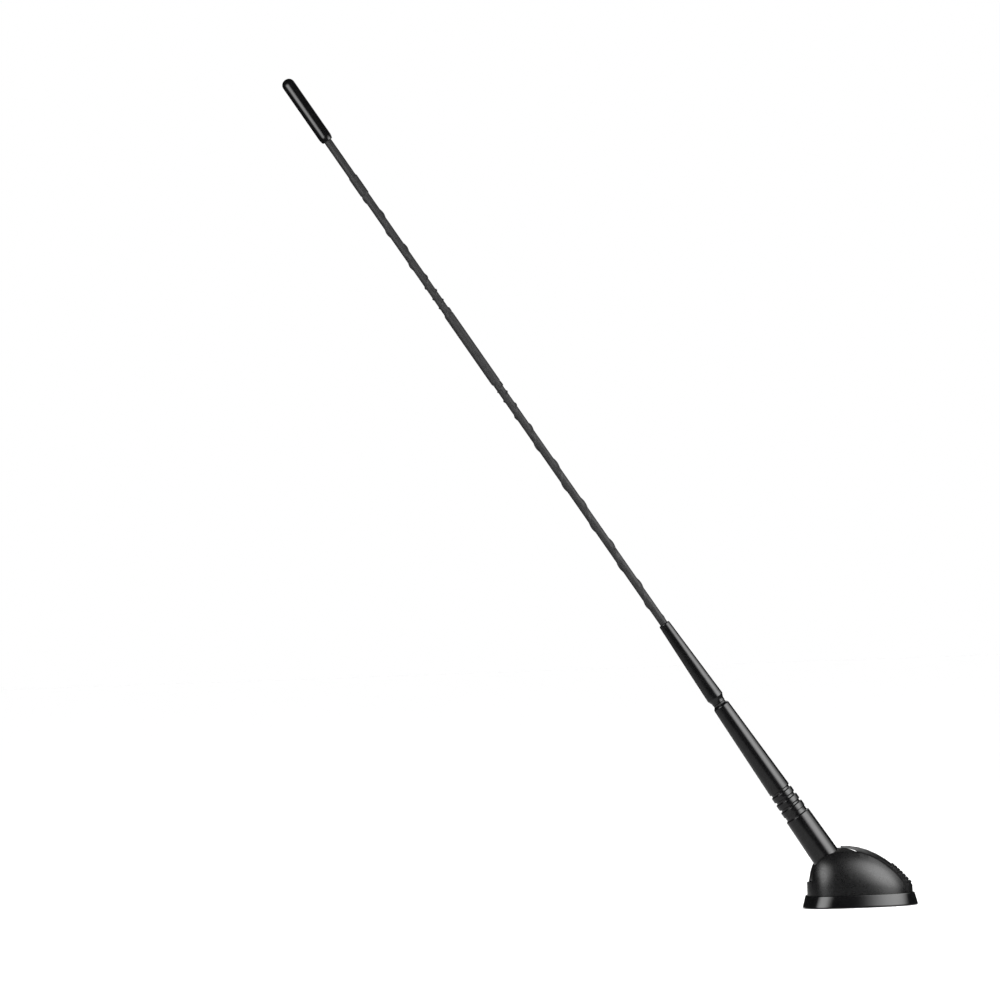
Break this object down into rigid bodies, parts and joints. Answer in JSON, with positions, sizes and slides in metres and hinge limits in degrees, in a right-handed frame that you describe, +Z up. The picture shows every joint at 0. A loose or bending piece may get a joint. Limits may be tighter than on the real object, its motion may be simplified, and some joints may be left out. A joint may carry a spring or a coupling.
{
  "type": "car mast aerial",
  "caption": "Car roof aerial: domed base with a tilting lower mast, a screw-off flexible whip with a wound helix under its sleeve, and a tip cap.",
  "frame": {"origin": "axis of the tapped roof screw hole, on the underside of the gasket", "axes": "+Z up along the roof screw hole, +X along the base towards the ribbed rear end, the mast leans towards -X in the plane Y = 0"},
  "size_m": [0.3227, 0.0382, 0.4477],
  "materials": {
    "gasket_rubber": "glossy moulded rubber",
    "cast_zinc": "die-cast, matt",
    "seal_rubber": "matt rubber",
    "insulator": "glass-filled plastic",
    "screw_steel": "zinc plated",
    "black_steel": "black oxide",
    "brass_part": "turned brass",
    "spring_bronze": "phosphor bronze strip",
    "housing_plastic": "satin black",
    "cover_plastic": "satin black",
    "hub_plastic": "satin black, glass filled",
    "mast_plastic": "semi-gloss black",
    "ferrule_black": "black chromed brass, semi-gloss",
    "glass_fibre": "drawn glass fibre",
    "copper_wire": "enamelled copper",
    "sleeve_black": "matt shrink sleeve",
    "cap_black": "semi-gloss black"
  },
  "bodies": {
    "base": {"base_gasket": "gasket_rubber", "base_plate": "cast_zinc", "cable_grommet": "seal_rubber", "pivot_carrier": "insulator", "carrier_screws": "screw_steel", "housing": "housing_plastic", "housing_screws": "screw_steel", "clamp_screw": "black_steel", "clamp_shoe": "brass_part", "pivot_pin": "screw_steel", "pin_clip": "black_steel", "friction_washers": "screw_steel", "contact_spring": "spring_bronze", "feed_terminal": "brass_part"},
    "slot_cover": {"slot_cover": "cover_plastic"},
    "lower_mast": {"swivel_hub": "hub_plastic", "pivot_bush": "brass_part", "contact_ring": "brass_part", "mast_core": "brass_part", "core_pin": "screw_steel", "mast_cover": "mast_plastic"},
    "neck_seal": {"neck_seal": "seal_rubber"},
    "whip": {"whip_stud": "screw_steel", "whip_ferrule": "ferrule_black", "whip_rod": "glass_fibre", "whip_winding": "copper_wire", "whip_sleeve": "sleeve_black"},
    "whip_tip": {"tip_cap": "cap_black"}
  },
  "joints": [
    {"name": "mast_tilt", "type": "hinge", "parent": "base", "child": "lower_mast", "pos_m": [-0.015, 0, 0.0146], "axis": [0, -1, 0], "range_deg": [-7, 34]},
    {"name": "whip_travel", "type": "slide", "parent": "lower_mast", "child": "neck_seal", "axis": [-0.5446, 0, 0.8387], "range_m": [0, 0.008]},
    {"name": "whip_screw", "type": "hinge", "parent": "neck_seal", "child": "whip", "pos_m": [-0.015, 0, 0.0146], "axis": [-0.5446, 0, 0.8387], "range_deg": [0, 3601]},
    {"name": "whip_flex", "type": "hinge", "parent": "whip", "child": "whip_tip", "pos_m": [-0.16584, 0, 0.24688], "axis": [0, -1, 0], "range_deg": [-20, 40], "stiffness_Nm_per_rad": 1, "deforming": ["whip_rod", "whip_winding", "whip_sleeve"]},
    {"name": "cover_slide", "type": "slide", "parent": "base", "child": "slot_cover", "axis": [1, 0, 0], "range_m": [0, 0.012]}
  ],
  "couplings": [
    {"joint": "whip_screw", "follows": "whip_travel", "rad_per_m": 7854}
  ]
}
